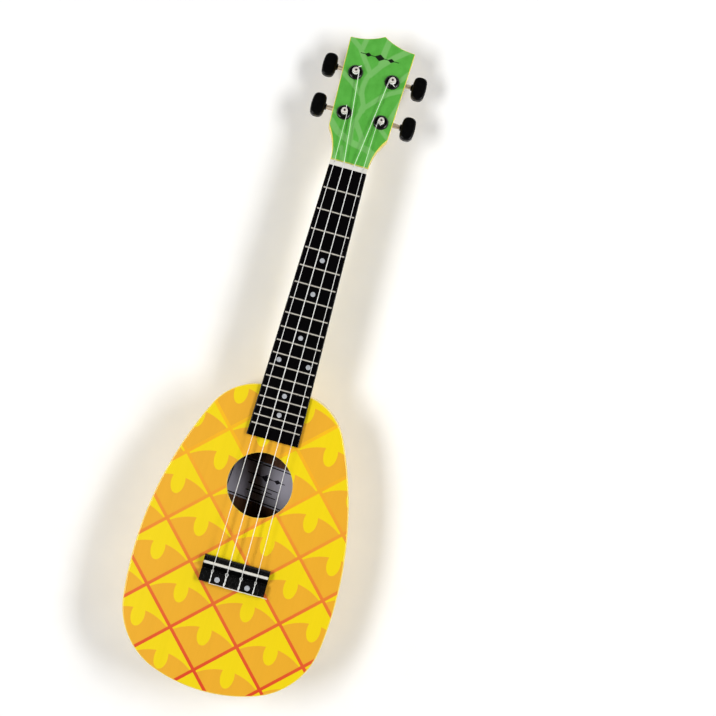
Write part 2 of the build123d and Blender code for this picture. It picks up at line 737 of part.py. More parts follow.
def string_points(name):
    """Bends of one string from its tied end over the saddle and the nut to its post."""
    gauge, nut_x, saddle_x, _, _ = STRINGS[name]
    half = gauge / 2
    rear_gap, top_gap = TIE_GAP
    rear = BRIDGE_REAR + half + rear_gap
    crown = SADDLE_THICK / 2 + half + STRING_GAP
    peak = SADDLE_TOP + half + STRING_GAP
    peak_distance = SADDLE_FROM_NUT + crown * math.tan(math.radians(BREAK_ANGLE / 2))
    mouth = peak_distance + (peak - TIE_HOLE_Z) / math.tan(math.radians(BREAK_ANGLE))
    over = TIE_TOP + half + top_gap
    touch = string_touch(name)
    nut_bend = nut_point(gauge, nut_x)
    stop = touch - (touch - nut_bend).normalized() * POST_STOP
    return [
        Vector(saddle_x, from_nut(TIE_FRONT + TIE_END), over),
        Vector(saddle_x, from_nut(rear), over),
        Vector(saddle_x, from_nut(rear), TIE_HOLE_Z),
        Vector(saddle_x, from_nut(mouth), TIE_HOLE_Z),
        Vector(saddle_x, from_nut(peak_distance), peak),
        nut_bend,
        stop,
    ]


def string(name):
    """One string from the tie block to just short of its winding."""
    gauge = STRINGS[name][0]
    crown = SADDLE_THICK / 2 + gauge / 2 + STRING_GAP
    radii = [TIE_BEND, TIE_BEND, TIE_MOUTH_BEND, crown, NUT_BEND_RADIUS]
    path = FilletPolyline(*string_points(name), radius=radii)
    start = Plane(origin=path @ 0, z_dir=path % 0)
    return sweep(start * Circle(gauge / 2), path=path)


def nut_slot(name):
    """Groove that a string lies in, following it on both sides of its bend."""
    gauge, nut_x = STRINGS[name][:2]
    bend = nut_point(gauge, nut_x)
    half = gauge / 2 + 0.07
    groove = block((-0.5, 7.5), (-half, half), (-gauge / 2 - 0.1, 3.0))
    slots = []
    for target in (string_points(name)[4], string_touch(name)):
        run = (target - bend).normalized()
        across = Vector(0, 0, 1).cross(run).normalized()
        slots.append(Plane(origin=bend, x_dir=run, z_dir=run.cross(across)) * groove)
    return slots[0] + slots[1]


def nut():
    """Nut with a rounded rear edge and four string grooves."""
    half = NUT_WIDTH / 2
    bar = block((-half, half), (NUT_Y + NUT_GAP, NUT_Y + NUT_DEPTH), (BODY_DEPTH, NUT_TOP))
    rear = bar.edges().filter_by(Axis.X).sort_by(lambda e: e.center().Y + e.center().Z)[-1]
    bar = fillet(rear, NUT_ROUND)
    for name in STRINGS:
        bar -= nut_slot(name)
    return bar


# ---------------------------------------------------------------- tuners

def bushing():
    """Domed bushing pressed into the head round the post."""
    shank_radius, shank_length = BUSHING_SHANK
    dome = fillet(rod(BUSHING_RADIUS, 0, BUSHING_HEIGHT).edges().sort_by(Axis.Z)[-1], BUSHING_DOME)
    return dome + rod(shank_radius, -shank_length, 0.5) - rod(POST_RADIUS + RUNNING_GAP, -20, 20)


def post():
    """String post: gear seat, bearing, waist for the string and a dimpled top."""
    low, high = WAIST
    pin = rod(GEAR_SEAT_RADIUS, GEAR_BOTTOM, GEAR_TOP)
    pin += rod(POST_RADIUS, GEAR_TOP, low)
    pin += rod(WAIST_RADIUS, low, high)
    pin += fillet(rod(POST_RADIUS, high, POST_TOP).edges().sort_by(Axis.Z)[-1], POST_TOP_ROUND)
    pin -= Pos(0, 0, POST_TOP - POST_DIMPLE[2] / 2) * Cone(*POST_DIMPLE)
    hole_radius, hole_height = POST_HOLE
    hole = Rot(0, 90, 0) * Cylinder(hole_radius, 3 * POST_RADIUS)
    pin -= Pos(0, 0, hole_height) * Rot(0, 0, POST_HOLE_TURN) * hole
    return pin - rod(GEAR_SCREW_SHANK[0], GEAR_BOTTOM - 1, GEAR_BOTTOM + GEAR_SCREW_BORE)


def gear():
    """Worm gear with straight teeth, one of them pointing at the worm."""
    root = GEAR_RADIUS - DEDENDUM
    tip = GEAR_RADIUS + ADDENDUM
    root_half, tip_half = GEAR_TOOTH_HALF
    flanks = [(root, -root_half), (tip, -tip_half), (tip, tip_half), (root, root_half)]
    points = []
    for tooth in range(GEAR_TEETH):
        middle = math.radians(90 + 360 * tooth / GEAR_TEETH)
        for radius, half in flanks:
            angle = middle + half / radius
            points.append((radius * math.cos(angle), radius * math.sin(angle)))
    wheel = extrude(make_face(Polyline(*points, close=True)), GEAR_THICK)
    return Pos(0, 0, GEAR_BOTTOM) * wheel - rod(GEAR_SEAT_RADIUS, GEAR_BOTTOM - 1, GEAR_TOP + 1)


def gear_screw():
    """Slotted screw that holds the gear on the post."""
    head_radius, head_height, head_round = GEAR_SCREW_HEAD
    shank_radius, shank_length = GEAR_SCREW_SHANK
    slot_half, slot_depth = GEAR_SCREW_SLOT
    face = GEAR_BOTTOM - head_height
    head = fillet(rod(head_radius, face, GEAR_BOTTOM).edges().sort_by(Axis.Z)[0], head_round)
    slot = block((-3, 3), (-slot_half, slot_half), (face - 1, face + slot_depth))
    return head + rod(shank_radius, GEAR_BOTTOM, GEAR_BOTTOM + shank_length) - slot


def winding(gauge):
    """Turns of string on the post, as a ribbed sleeve."""
    radius = winding_radius(gauge)
    outer = radius + gauge / 2
    low = WINDING_BASE - gauge / 2
    high = low + WINDING_TURNS * gauge
    inner = WAIST_RADIUS
    edges = [Polyline((radius, 0, high), (inner, 0, high), (inner, 0, low), (radius, 0, low))]
    for turn in range(WINDING_TURNS):
        foot = low + turn * gauge
        crest = (outer, 0, foot + gauge / 2)
        edges.append(ThreePointArc((radius, 0, foot), crest, (radius, 0, foot + gauge)))
    return revolve(make_face(edges), Axis.Z)


def across_head(shape):
    """Turn a part built along Z so that it points out of the head along X, at the worm's place."""
    return Pos(0, CENTRE_DISTANCE, WORM_DEPTH) * Rot(0, 90, 0) * shape


def worm_shaft():
    """Worm, its two journals and the tapered spindle that carries the button."""
    ear_start, ear_thick, _ = EAR
    ear_end = ear_start + ear_thick
    spindle_start = ear_end + SHAFT_OVERLAP
    boss_face = BUTTON_CENTRE - BUTTON_SIZE[0] / 2 - BUTTON_BOSS[1]
    root = WORM_RADIUS - DEDENDUM
    length = WORM_TURNS * WORM_PITCH
    collar_radius, collar_thick = SHAFT_COLLAR
    end_radius, end_length = SPINDLE_END
    shaft = rod(root, -ear_start, ear_start)
    shaft += rod(SHAFT_RADIUS, -ear_end - SHAFT_END, -ear_start + SHAFT_OVERLAP)
    shaft += rod(SHAFT_RADIUS, ear_start - SHAFT_OVERLAP, spindle_start)
    shaft += rod(collar_radius, spindle_start, spindle_start + collar_thick)
    taper = Cone(*SPINDLE_RADII, boss_face - spindle_start)
    shaft += Pos(0, 0, (boss_face + spindle_start) / 2) * taper
    shaft += rod(end_radius, boss_face - 0.5, boss_face + end_length)
    return across_head(shaft + Rot(0, 0, -90) * worm_thread(root, length))


def worm_thread(root, length):
    """Helical thread of the worm, centred on its length."""
    helix = Helix(pitch=WORM_PITCH, height=length, radius=root, center=(0, 0, -length / 2))
    root_half, tip_half = WORM_TOOTH_HALF
    inner, outer = root - WORM_TOOTH_SINK, WORM_RADIUS + ADDENDUM
    profile = [(inner, -root_half), (outer, -tip_half), (outer, tip_half), (inner, root_half)]
    corners = [Vector(r, 0, z - length / 2) for r, z in profile]
    return sweep(make_face(Polyline(*corners, close=True)), path=helix, is_frenet=True)


def button():
    """Flat button with bulged sides, bored for the spindle."""
    width, height, thick = BUTTON_SIZE
    half_w, half_h = width / 2 - BUTTON_BULGE, height / 2 - BUTTON_BULGE
    corners = [(-half_w, -half_h), (half_w, -half_h), (half_w, half_h), (-half_w, half_h)]
    middles = [(0, -height / 2), (width / 2, 0), (0, height / 2), (-width / 2, 0)]
    ends = corners[1:] + corners[:1]
    outline = make_face([ThreePointArc(*points) for points in zip(corners, middles, ends)])
    outline = fillet(outline.vertices(), BUTTON_CORNER)
    knob = extrude(outline, thick / 2, both=True)
    knob = fillet(knob.faces().filter_by(Axis.Z).edges(), BUTTON_EDGE)
    boss_radius, boss_length = BUTTON_BOSS
    foot = -width / 2 - boss_length
    knob += Rot(0, 90, 0) * rod(boss_radius, foot, foot + boss_length + BOSS_SINK)
    knob -= Rot(0, 90, 0) * rod(SPINDLE_END[0], foot, foot + SPINDLE_END[1])
    return Pos(BUTTON_CENTRE, CENTRE_DISTANCE, WORM_DEPTH) * knob


def tuner_plate():
    """Base plate on the back of the head with two ears that carry the worm."""
    ear_start, ear_thick, ear_half = EAR
    outline = Pos(0, PLATE_OFFSET) * RectangleRounded(*PLATE_OUTLINE)
    plate = Pos(0, 0, PLATE_BACK) * extrude(outline, PLATE_THICK)
    plate -= rod(POST_RADIUS + RUNNING_GAP, -20, 0)
    for offset in PLATE_SCREWS:
        plate -= Pos(0, offset, 0) * rod(SCREW_SHANK[0], -20, 0)
    y_range = (CENTRE_DISTANCE - ear_half, CENTRE_DISTANCE + ear_half)
    for side in (-1, 1):
        x_range = sorted((side * ear_start, side * (ear_start + ear_thick)))
        plate += block(x_range, y_range, (WORM_DEPTH, PLATE_BACK + 0.3))
        plate += across_head(rod(ear_half, *x_range))
    return plate - across_head(rod(SHAFT_RADIUS + RUNNING_GAP, -10, 10))


def plate_screw():
    """Small cross-head wood screw, head down."""
    head_radius, head_height = SCREW_HEAD
    shank_radius, shank_length = SCREW_SHANK
    head = rod(head_radius, PLATE_BACK - head_height, PLATE_BACK)
    head = fillet(head.edges().sort_by(Axis.Z)[0], SCREW_HEAD_ROUND)
    length, width, depth = SCREW_CROSS
    cross = Box(length, width, 2 * depth) + Box(width, length, 2 * depth)
    cross = Pos(0, 0, PLATE_BACK - head_height) * cross
    return head + rod(shank_radius, PLATE_BACK, PLATE_BACK + shank_length) - cross


def on_head(shape, side, row):
    """Place a right-hand tuner piece at its post, mirrored for the left side."""
    placed = HEAD * (Pos(POST_X, POST_ROWS[row], 0) * shape)
    return placed if side > 0 else placed.mirror(Plane.YZ)


# ---------------------------------------------------------------- write the sub-parts

save(soundboard(), "soundboard")
save(back_plate(), "back_plate")
side_left, side_right = sides()
save(side_left, "side_left")
save(side_right, "side_right")
save(end_block("neck"), "neck_block")
save(end_block("tail"), "tail_block")
save(linings(TOP_UNDERSIDE - LINING_HEIGHT), "top_linings")
save(linings(PLATE), "back_linings")
save(cross_brace(TOP_BRACES[0], True, TOP_BRACE_HEIGHT), "top_brace_upper")
save(cross_brace(TOP_BRACES[1], True, TOP_BRACE_HEIGHT), "top_brace_lower")
save(fan_braces(), "fan_braces")
save(bridge_plate(), "bridge_plate")
save(group(cross_brace(distance, False, BACK_BRACE_HEIGHT) for distance in BACK_BRACES), "back_braces")
save(soundhole_label(), "soundhole_label")
save(group(DOWELS), "neck_dowels")

neck, heel = neck_and_heel()
save(neck, "neck")
save(heel, "heel")
save(heel_cap(), "heel_cap")
save(head_veneer(), "head_veneer")
save(fretboard(), "fretboard")
save(frets(), "frets")
save(position_dots(), "position_dots")

save(nut(), "nut")
save(saddle(), "saddle")
save(bridge(), "bridge")
save(bridge_screws(), "bridge_screws")
save(bridge_screw_caps(), "bridge_screw_caps")
save(bridge_nuts(), "bridge_nuts")

PLACES = [(side, row) for _, _, _, side, row in STRINGS.values()]
save(group(on_head(bushing(), side, row) for side, row in PLACES), "post_bushings")
save(group(on_head(tuner_plate(), side, row) for side, row in PLACES), "tuner_plates")
screws = [Pos(0, offset, 0) * plate_screw() for offset in PLATE_SCREWS]
save(group(on_head(screw, side, row) for side, row in PLACES for screw in screws), "tuner_screws")

for string_name, (gauge, _, _, side, row) in STRINGS.items():
    save(string(string_name), f"string_{string_name}")
    save(on_head(post(), side, row), f"post_{string_name}")
    save(on_head(gear(), side, row), f"gear_{string_name}")
    save(on_head(gear_screw(), side, row), f"gear_screw_{string_name}")
    save(on_head(winding(gauge), side, row), f"winding_{string_name}")
    save(on_head(worm_shaft(), side, row), f"worm_shaft_{string_name}")
    save(on_head(button(), side, row), f"button_{string_name}")
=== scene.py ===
"""Looks of the ukulele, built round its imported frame. Sizes and routes are in millimetres."""

import json
import math
from functools import reduce
import bmesh
import bpy
from mathutils import Matrix, Vector


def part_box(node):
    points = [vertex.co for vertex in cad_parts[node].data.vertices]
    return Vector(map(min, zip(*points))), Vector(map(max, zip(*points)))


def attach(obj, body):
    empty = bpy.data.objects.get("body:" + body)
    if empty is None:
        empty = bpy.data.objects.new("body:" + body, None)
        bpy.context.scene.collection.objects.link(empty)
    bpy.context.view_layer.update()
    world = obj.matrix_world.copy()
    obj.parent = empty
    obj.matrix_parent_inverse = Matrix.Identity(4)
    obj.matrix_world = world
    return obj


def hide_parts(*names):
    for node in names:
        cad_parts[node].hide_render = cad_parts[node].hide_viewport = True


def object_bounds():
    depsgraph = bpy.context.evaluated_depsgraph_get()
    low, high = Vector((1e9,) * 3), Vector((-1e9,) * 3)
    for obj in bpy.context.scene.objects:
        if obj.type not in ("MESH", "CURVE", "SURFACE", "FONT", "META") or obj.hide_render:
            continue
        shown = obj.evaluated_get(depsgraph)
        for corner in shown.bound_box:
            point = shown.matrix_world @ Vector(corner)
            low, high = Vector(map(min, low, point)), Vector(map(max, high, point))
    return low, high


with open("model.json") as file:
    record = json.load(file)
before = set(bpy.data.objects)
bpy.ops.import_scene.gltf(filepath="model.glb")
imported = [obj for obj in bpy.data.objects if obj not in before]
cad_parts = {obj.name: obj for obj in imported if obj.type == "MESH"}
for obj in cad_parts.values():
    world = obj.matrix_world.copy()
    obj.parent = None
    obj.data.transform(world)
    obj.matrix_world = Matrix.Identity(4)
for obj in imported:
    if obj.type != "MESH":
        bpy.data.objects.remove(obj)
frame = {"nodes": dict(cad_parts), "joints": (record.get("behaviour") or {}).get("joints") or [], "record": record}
cad_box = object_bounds()

MM = 0.001
NODES = frame["nodes"]
JOINTS = {joint["name"]: joint for joint in frame["joints"]}


def box_mm(node):
    """Lowest and highest corner of a CAD node."""
    low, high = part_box(node)
    return low / MM, high / MM


# ---------------------------------------------------------------- places

# Read from the frame
BODY_LOW, BODY_HIGH = box_mm("soundboard")
BODY_MIDDLE_Y = (BODY_LOW.y + BODY_HIGH.y) / 2
BACK_TOP = box_mm("back_plate")[1].z
BOARD_END = box_mm("fretboard")[0].y
NUT_LOW, NUT_HIGH = box_mm("nut")
SADDLE_LOW, SADDLE_HIGH = box_mm("saddle")
SADDLE_Y = (SADDLE_LOW.y + SADDLE_HIGH.y) / 2
SADDLE_CROWN = (SADDLE_HIGH.y - SADDLE_LOW.y) / 2
BRIDGE_LOW, BRIDGE_HIGH = box_mm("bridge")
LABEL_LOW, LABEL_HIGH = box_mm("soundhole_label")
LABEL_CENTRE = (LABEL_LOW + LABEL_HIGH) / 2

# Body: a length near its half width, which scales how far outward a face looks, and the sound hole
BODY_REACH = 90.0
HOLE_RADIUS = 30.0
HOLE_Y = NUT_LOW.y - 300.0

# Head: its face starts behind the nut, a little above the soundboard, and leans back
HEAD_ORIGIN = Vector((0, NUT_HIGH.y, BODY_HIGH.z + 1.0))
HEAD_AXIS = Vector(JOINTS["g_post_turn"]["axis"]).normalized()
POST_X = abs(JOINTS["g_post_turn"]["pos_m"][0]) / MM

# Distances from a post's axis: where the painted shade in its dimple ends, and where a string is clear of its
# turns, past which the painted light from the head may start on it
DIMPLE_PAINTED_SHADE = (0.75, 1.25)
COIL_CLEARANCE = (6.5, 9.5)

# Tie block of the bridge
TIE_FRONT = BRIDGE_LOW.y + 10.5
TIE_TOP = box_mm("bridge_screw_caps")[1].z - 0.1
TIE_HOLE_Z = BODY_HIGH.z + 3.2
TIE_PAST_BRIDGE = 3.0

# Strings: gauge, place across the nut, place across the saddle
STRINGS = {
    "g": (0.62, -13.6, -20.4),
    "c": (0.88, -4.55, -6.8),
    "e": (0.80, 4.55, 6.8),
    "a": (0.58, 13.6, 20.4),
}
STRING_GAP = 0.03
NUT_SLOT_Z = NUT_HIGH.z - 0.65
NUT_BEND = 2.0
BREAK_ANGLE = math.radians(47.0)
MOUTH_RADIUS = 1.2
NUT_RADIUS = 6.0

# Turns of string on a post. The straight string wraps a little way round, just inside the turns, and each
# cut end leaves through the post's hole, with its own reach and bend.
POST_WAIST = 2.5
WINDING_BASE = 3.4
WINDING_TURNS = 2.75
WINDING_PITCH = 1.01
WRAP_OVERLAP = math.radians(40.0)
WRAP_RADIUS_SHARE = 0.995
CUT_END_TURN = math.radians(75.0)
CUT_ENDS = {"g": (2.6, 0.3), "c": (3.4, -0.7), "e": (3.2, 0.5), "a": (2.2, -0.4)}

# Rings of a tube's domed end, by their angle from its last full ring
DOME_ANGLES = [math.radians(angle) for angle in (72, 45, 20)]


def along_head(y, z):
    """Distance from the nut along the head's face."""
    return (y - HEAD_ORIGIN.y) * HEAD_AXIS.z - (z - HEAD_ORIGIN.z) * HEAD_AXIS.y


POST_PLACES = [Vector(JOINTS[f"{name}_post_turn"]["pos_m"]) / MM for name in STRINGS]
POST_ROWS = sorted({round(along_head(place.y, place.z), 3) for place in POST_PLACES})


# ---------------------------------------------------------------- prints

# Fruit skin on the soundboard: a lattice of square cells on their corners. Each is orange inside an arc and
# yellow above it, and a yellow drip hangs across the arc.
LATTICE_HALF = 31.65
LATTICE_TURN = math.radians(1.286)
LATTICE_NODE = (-11.85, NUT_LOW.y - 415.7)
LATTICE_LINE = 3.0
ARC_RADIUS = 48.2
ARC_CENTRE = -40.0
DRIP_HALF_WIDTH, DRIP_HALF_HEIGHT = 6.35, 10.9
DRIP_RISE = 2.8
LINE_FADE_START = NUT_LOW.y - 490.0
LINE_FADE_LENGTH = 250.0
PRINT_BLUR = 0.18

# Leaf on the head: width of each vein and its bends, across and along the head
HEAD_VEINS = [
    (4.6, [(-30.7, 120), (-19.7, 112), (-12.7, 102), (-4.2, 90.5), (-6.4, 83.5), (-7.4, 75.5), (-6.8, 69.5),
           (-4.2, 63), (-1.4, 56.5)]),
    (4.6, [(-15.7, 123.5), (-17.5, 112)]),
    (5.6, [(5.1, 126.5), (3.4, 113.5), (3.3, 102)]),
    (5.4, [(-4.2, 88.5), (4.1, 101), (14.8, 112.5), (25.3, 121.5)]),
    (4.4, [(-0.2, 57), (11.8, 71), (17.8, 76), (30.8, 83.3)]),
    (4.4, [(19.8, 84.5), (30.3, 99.5)]),
    (4.8, [(24.3, 49.5), (27.8, 61.5), (30.8, 73.5)]),
    (4.6, [(-30.2, 85.5), (-17.7, 77), (-7.7, 68.5)]),
    (6.0, [(-1.7, 58), (-2.6, 53)]),
    (4.2, [(-2.2, 54), (-4.6, 44.5), (-6.8, 33.5), (-5.2, 24.5)]),
    (5.0, [(-5.2, 41.5), (-0.7, 35), (4.3, 27.5), (5.8, 19.5)]),
    (6.2, [(-27.5, 36.5), (-19.2, 28), (-11.2, 24), (-2.2, 20.5), (11.8, 18), (19.3, 14.5)]),
    (5.0, [(-19, 10), (-15, 1)]),
    (3.6, [(-11.2, 14), (-7.2, 2)]),
    (4.2, [(15.5, 16.5), (17.3, 1.5)]),
    (4.0, [(18.8, 40.5), (26.8, 34)]),
    (3.6, [(-29.2, 47.5), (-18, 41)]),
]
VEIN_BLUR = 0.8

# A yellow line along the nut fades between two distances from it
FOOT_LINE_FADE = (1.3, 1.6)

# Ornament of the head and label: offset, half width and half height of its lozenges. The ink of a line
# fades between two distances from its middle.
LOZENGES = ((-11.0, 3.4, 2.2), (0.0, 5.0, 3.4), (11.0, 3.4, 2.2))
LOZENGE_BLUR = 0.07
ORNAMENT_RULE_HALF = 18.5
ORNAMENT_RULE_FADE = (0.25, 0.45)
RULE_END_BLUR = 0.2
HEAD_ORNAMENT = (0.4, 107.6)
LABEL_ORNAMENT = (0.0, 6.0)

# Label in the sound hole: half sizes of its printed frame, and height and half length of its blank rules
LABEL_TURN = math.radians(-5.0)
LABEL_FRAME = (33.0, 17.5)
LABEL_FRAME_FADE = (0.4, 0.6)
LABEL_RULES = ((-3.0, 15.0), (-6.5, 10.0), (-10.0, 15.0))
LABEL_RULE_FADE = (0.35, 0.5)


# ---------------------------------------------------------------- colours

# Paint is mixed this much darker than its code, because the studio light lifts it
PAINT_LEVEL = 1 / 1.16

# One code, or the dark and light ends of a mottle
PRINT_YELLOW = "F6D908"
PRINT_ORANGE = "F1B02A"
PRINT_LINES = [(0.0, "E14822"), (0.17, "E75C2A"), (0.33, "EB722E"), (0.5, "EF8A2E"),
               (0.67, "F39F2E"), (0.83, "F8B122"), (1.0, "FCC018")]
# Rim: yellow lacquer, made paler by a painted highlight
RIM_LACQUER_AND_HIGHLIGHT = "F9DF5C"
FACE_WOOD = ("9C6B3E", "C79A63")
LEAF_GREEN = ("55AC3F", "60B94A")
LEAF_VEIN = "82C46E"
FOOT_YELLOW = "D9D468"
HEAD_BEVEL = "EDDB2C"
HEAD_INK = "141C12"
LABEL_PAPER = ("C9C5D4", "D4D1DE")
LABEL_INK = "2A2730"
RAW_WOOD = ("4A2A14", "8A5A33")
INSIDE_WOOD = ("5A3319", "8C5A32")
BODY_YELLOW = ("ECBE1E", "F4CE2C")
NECK_YELLOW = ("E6C41C", "EFD32C")
FRETBOARD_BLACK = ("030203", "070608")
BRIDGE_BLACK = ("020202", "0B0A0A")
NYLON_CLEAR = ("E6E6E1", "F2F2EE")
# Nylon over the face and over the head: painted light, the colour beneath shining up through the string
NYLON_PAINTED_FACE_LIGHT = "FDEDD0"
NYLON_PAINTED_HEAD_LIGHT = "CDF3C2"
# Frets: painted highlight on the crown, painted shade on the flanks
FRET_CROWN_HIGHLIGHT, FRET_FLANK_SHADE = "E8E2D4", "55514A"
# Posts: nickel, and a dark colour for the painted shade in the dimple on top
POST_NICKEL, POST_DIMPLE_SHADE = "F6F0E8", "30221C"
STEEL = "DACBB8"
BRASS = "C99A4B"
TARNISH_LEVEL = 0.78
PEARL = ("A6A9AE", "C6C9CD")
BONE = ("DCD9CF", "E6E3DA")
BUSHING_BLACK = ("030303", "080908")
BUTTON_BLACK = ("010101", "040404")
FLOOR_WHITE = ((0.90, 0.90, 0.90, 1.0), (0.93, 0.93, 0.93, 1.0))

# Where noise takes on the dark and the light end of a mottle
MOTTLE_ENDS = (0.3, 0.7)
DEEP_MOTTLE_ENDS = (0.25, 0.8)


# ---------------------------------------------------------------- camera and studio

# Places and lamp sizes in metres, lens and sensor in millimetres, lamp power in watts
CAMERA_PLACE = Vector((0.04275, 0.01107, 2.0719))
CAMERA_BACK = Vector((-0.00627, -0.00382, 0.99997))
CAMERA_ROLL = math.radians(15.567)
CAMERA_LENS = 110.25
SENSOR_WIDTH = 36.0
VIEW_LIMIT = 20.0
SOFTBOX_DISTANCE = 2.3
SOFTBOXES = {"softbox_left": (-1, math.radians(59.0)), "softbox_right": (1, math.radians(51.5))}
SOFTBOX_SIZE = (1.2, 0.56)
SOFTBOX_POWER = 31.2
ROOM_FADE = (0.15, 0.65)
ROOM_LIGHT = (0.02, 1.3)
FLOOR_HALF = 6.0
FLOOR_GAP = 0.0002


# ---------------------------------------------------------------- material graphs

def colour(value):
    """Paint that looks like a six-digit sRGB code under the studio light. A ready colour is left as it is."""
    if isinstance(value, tuple):
        return value
    channels = [int(value[i:i + 2], 16) / 255 for i in (0, 2, 4)]
    linear = [c / 12.92 if c <= 0.04045 else ((c + 0.055) / 1.055) ** 2.4 for c in channels]
    return (*[c * PAINT_LEVEL for c in linear], 1.0)


class Term:
    """A number worked out inside a material, so that a formula reads as one."""

    def __init__(self, tree, socket):
        self.tree = tree
        self.socket = socket

    def join(self, operation, *others):
        """This term and others put through one math node."""
        node = self.tree.nodes.new("ShaderNodeMath")
        node.operation = operation
        for place, value in enumerate((self, *others)):
            if isinstance(value, Term):
                self.tree.links.new(value.socket, node.inputs[place])
            else:
                node.inputs[place].default_value = value
        return Term(self.tree, node.outputs[0])

    def __add__(self, other):
        return self.join("ADD", other)

    def __sub__(self, other):
        return self.join("SUBTRACT", other)

    def __mul__(self, other):
        return self.join("MULTIPLY", other)

    def __truediv__(self, other):
        return self.join("DIVIDE", other)

    def scaled(self, factor, offset):
        """This times a factor plus an offset."""
        return self.join("MULTIPLY_ADD", factor, offset)

    def under(self, top):
        """top minus this."""
        return (self * -1.0) + top

    def size(self):
        return self.join("ABSOLUTE")

    def fraction(self):
        return self.join("FRACT")

    def root(self):
        return self.join("SQRT")

    def squared(self):
        return self * self

    def least(self, other):
        return self.join("MINIMUM", other)

    def most(self, other):
        return self.join("MAXIMUM", other)

    def rise(self, low, high):
        """0 below low and 1 above high, smooth between."""
        node = self.tree.nodes.new("ShaderNodeMapRange")
        node.interpolation_type = "SMOOTHSTEP"
        self.tree.links.new(self.socket, node.inputs["Value"])
        node.inputs["From Min"].default_value = low
        node.inputs["From Max"].default_value = high
        return Term(self.tree, node.outputs["Result"])

    def fall(self, low, high):
        """1 below low and 0 above high, smooth between."""
        return self.rise(low, high).under(1.0)

    def within(self, limit, blur):
        """1 up to a limit and 0 past it, with a blur each way."""
        return self.fall(limit - blur, limit + blur)

    def spread(self, low, high):
        """This term, which runs from 0 to 1, stretched to run from low to high."""
        return self * (high - low) + low


class Surface:
    """A Principled material and the terms that it is worked out from."""

    def __init__(self, name, **settings):
        self.material = bpy.data.materials.new(name)
        self.material.use_nodes = True
        self.tree = self.material.node_tree
        self.shader = self.tree.nodes["Principled BSDF"]
        for key, value in settings.items():
            self.shader.inputs[key.replace("_", " ")].default_value = value
        self.coordinates = self.tree.nodes.new("ShaderNodeTexCoord").outputs["Object"]

    def parts(self, socket):
        """X, Y and Z of a vector as terms."""
        node = self.tree.nodes.new("ShaderNodeSeparateXYZ")
        self.tree.links.new(socket, node.inputs[0])
        return [Term(self.tree, output) for output in node.outputs]

    def place(self):
        """Position in millimetres."""
        return [term * (1 / MM) for term in self.parts(self.coordinates)]

    def facing(self):
        """Direction that the surface faces."""
        return self.parts(self.tree.nodes.new("ShaderNodeNewGeometry").outputs["Normal"])

    def noise(self, size, detail, roughness=0.5, shift=0.0):
        """Noise from 0 to 1 with blobs of one size, or of a size along each of X, Y and Z."""
        lengths = size if isinstance(size, tuple) else (size, size, size)
        mapping = self.tree.nodes.new("ShaderNodeMapping")
        mapping.inputs["Scale"].default_value = [1 / (MM * length) for length in lengths]
        mapping.inputs["Location"].default_value = (shift, shift, shift)
        self.tree.links.new(self.coordinates, mapping.inputs["Vector"])
        node = self.tree.nodes.new("ShaderNodeTexNoise")
        node.inputs["Scale"].default_value = 1.0
        node.inputs["Detail"].default_value = detail
        node.inputs["Roughness"].default_value = roughness
        self.tree.links.new(mapping.outputs[0], node.inputs["Vector"])
        return Term(self.tree, node.outputs["Fac"])

    def mix(self, share, first, second):
        """Colour that runs from first to second as share runs from 0 to 1."""
        node = self.tree.nodes.new("ShaderNodeMix")
        node.data_type = "RGBA"
        self.tree.links.new(share.socket, node.inputs[0])
        # Inputs 6 and 7 and output 2 are the colours of this node
        for place, value in ((6, first), (7, second)):
            if isinstance(value, (str, tuple)):
                node.inputs[place].default_value = colour(value)
            else:
                self.tree.links.new(value, node.inputs[place])
        return node.outputs[2]

    def ramp(self, share, stops):
        """Colour along a line of (position, colour) stops."""
        node = self.tree.nodes.new("ShaderNodeValToRGB")
        points = node.color_ramp.elements
        while len(points) < len(stops):
            points.new(0.5)
        for point, (position, value) in zip(points, stops):
            point.position = position
            point.color = colour(value)
        self.tree.links.new(share.socket, node.inputs[0])
        return node.outputs[0]

    def mottle(self, share, tones, ends=MOTTLE_ENDS):
        """Colour that runs from a dark to a light tone between two values of a term."""
        return self.ramp(share, list(zip(ends, tones)))

    def shade(self, value, amount):
        """Colour made lighter or darker by a term round 1."""
        node = self.tree.nodes.new("ShaderNodeVectorMath")
        node.operation = "SCALE"
        self.tree.links.new(value, node.inputs[0])
        self.tree.links.new(amount.socket, node.inputs["Scale"])
        return node.outputs[0]

    def paint(self, value):
        self.tree.links.new(value, self.shader.inputs["Base Color"])

    def roughen(self, rough):
        self.tree.links.new(rough.socket, self.shader.inputs["Roughness"])

    def bump(self, height, relief):
        """Relief of this depth in millimetres."""
        node = self.tree.nodes.new("ShaderNodeBump")
        node.inputs["Strength"].default_value = 1.0
        node.inputs["Distance"].default_value = relief * MM
        self.tree.links.new(height.socket, node.inputs["Height"])
        self.tree.links.new(node.outputs[0], self.shader.inputs["Normal"])

    def grain(self, fibre, rough, relief):
        """Roughness that varies over a range, and relief, both from one term."""
        self.roughen(fibre.spread(*rough))
        self.bump(fibre, relief)


def turned(across, along, angle):
    """Two terms turned by an angle, counter-clockwise."""
    turned_across = across * math.cos(angle) - along * math.sin(angle)
    turned_along = across * math.sin(angle) + along * math.cos(angle)
    return turned_across, turned_along


def wood_terms(surface, width=0.9, length=45.0):
    """Fine fibres and broad bands that run along the instrument."""
    fibre = surface.noise((width, length, width), detail=5.0, roughness=0.6)
    band = surface.noise((width * 9, length * 6, width * 9), detail=2.0, shift=3.7)
    return fibre, band


# ---------------------------------------------------------------- printed surfaces

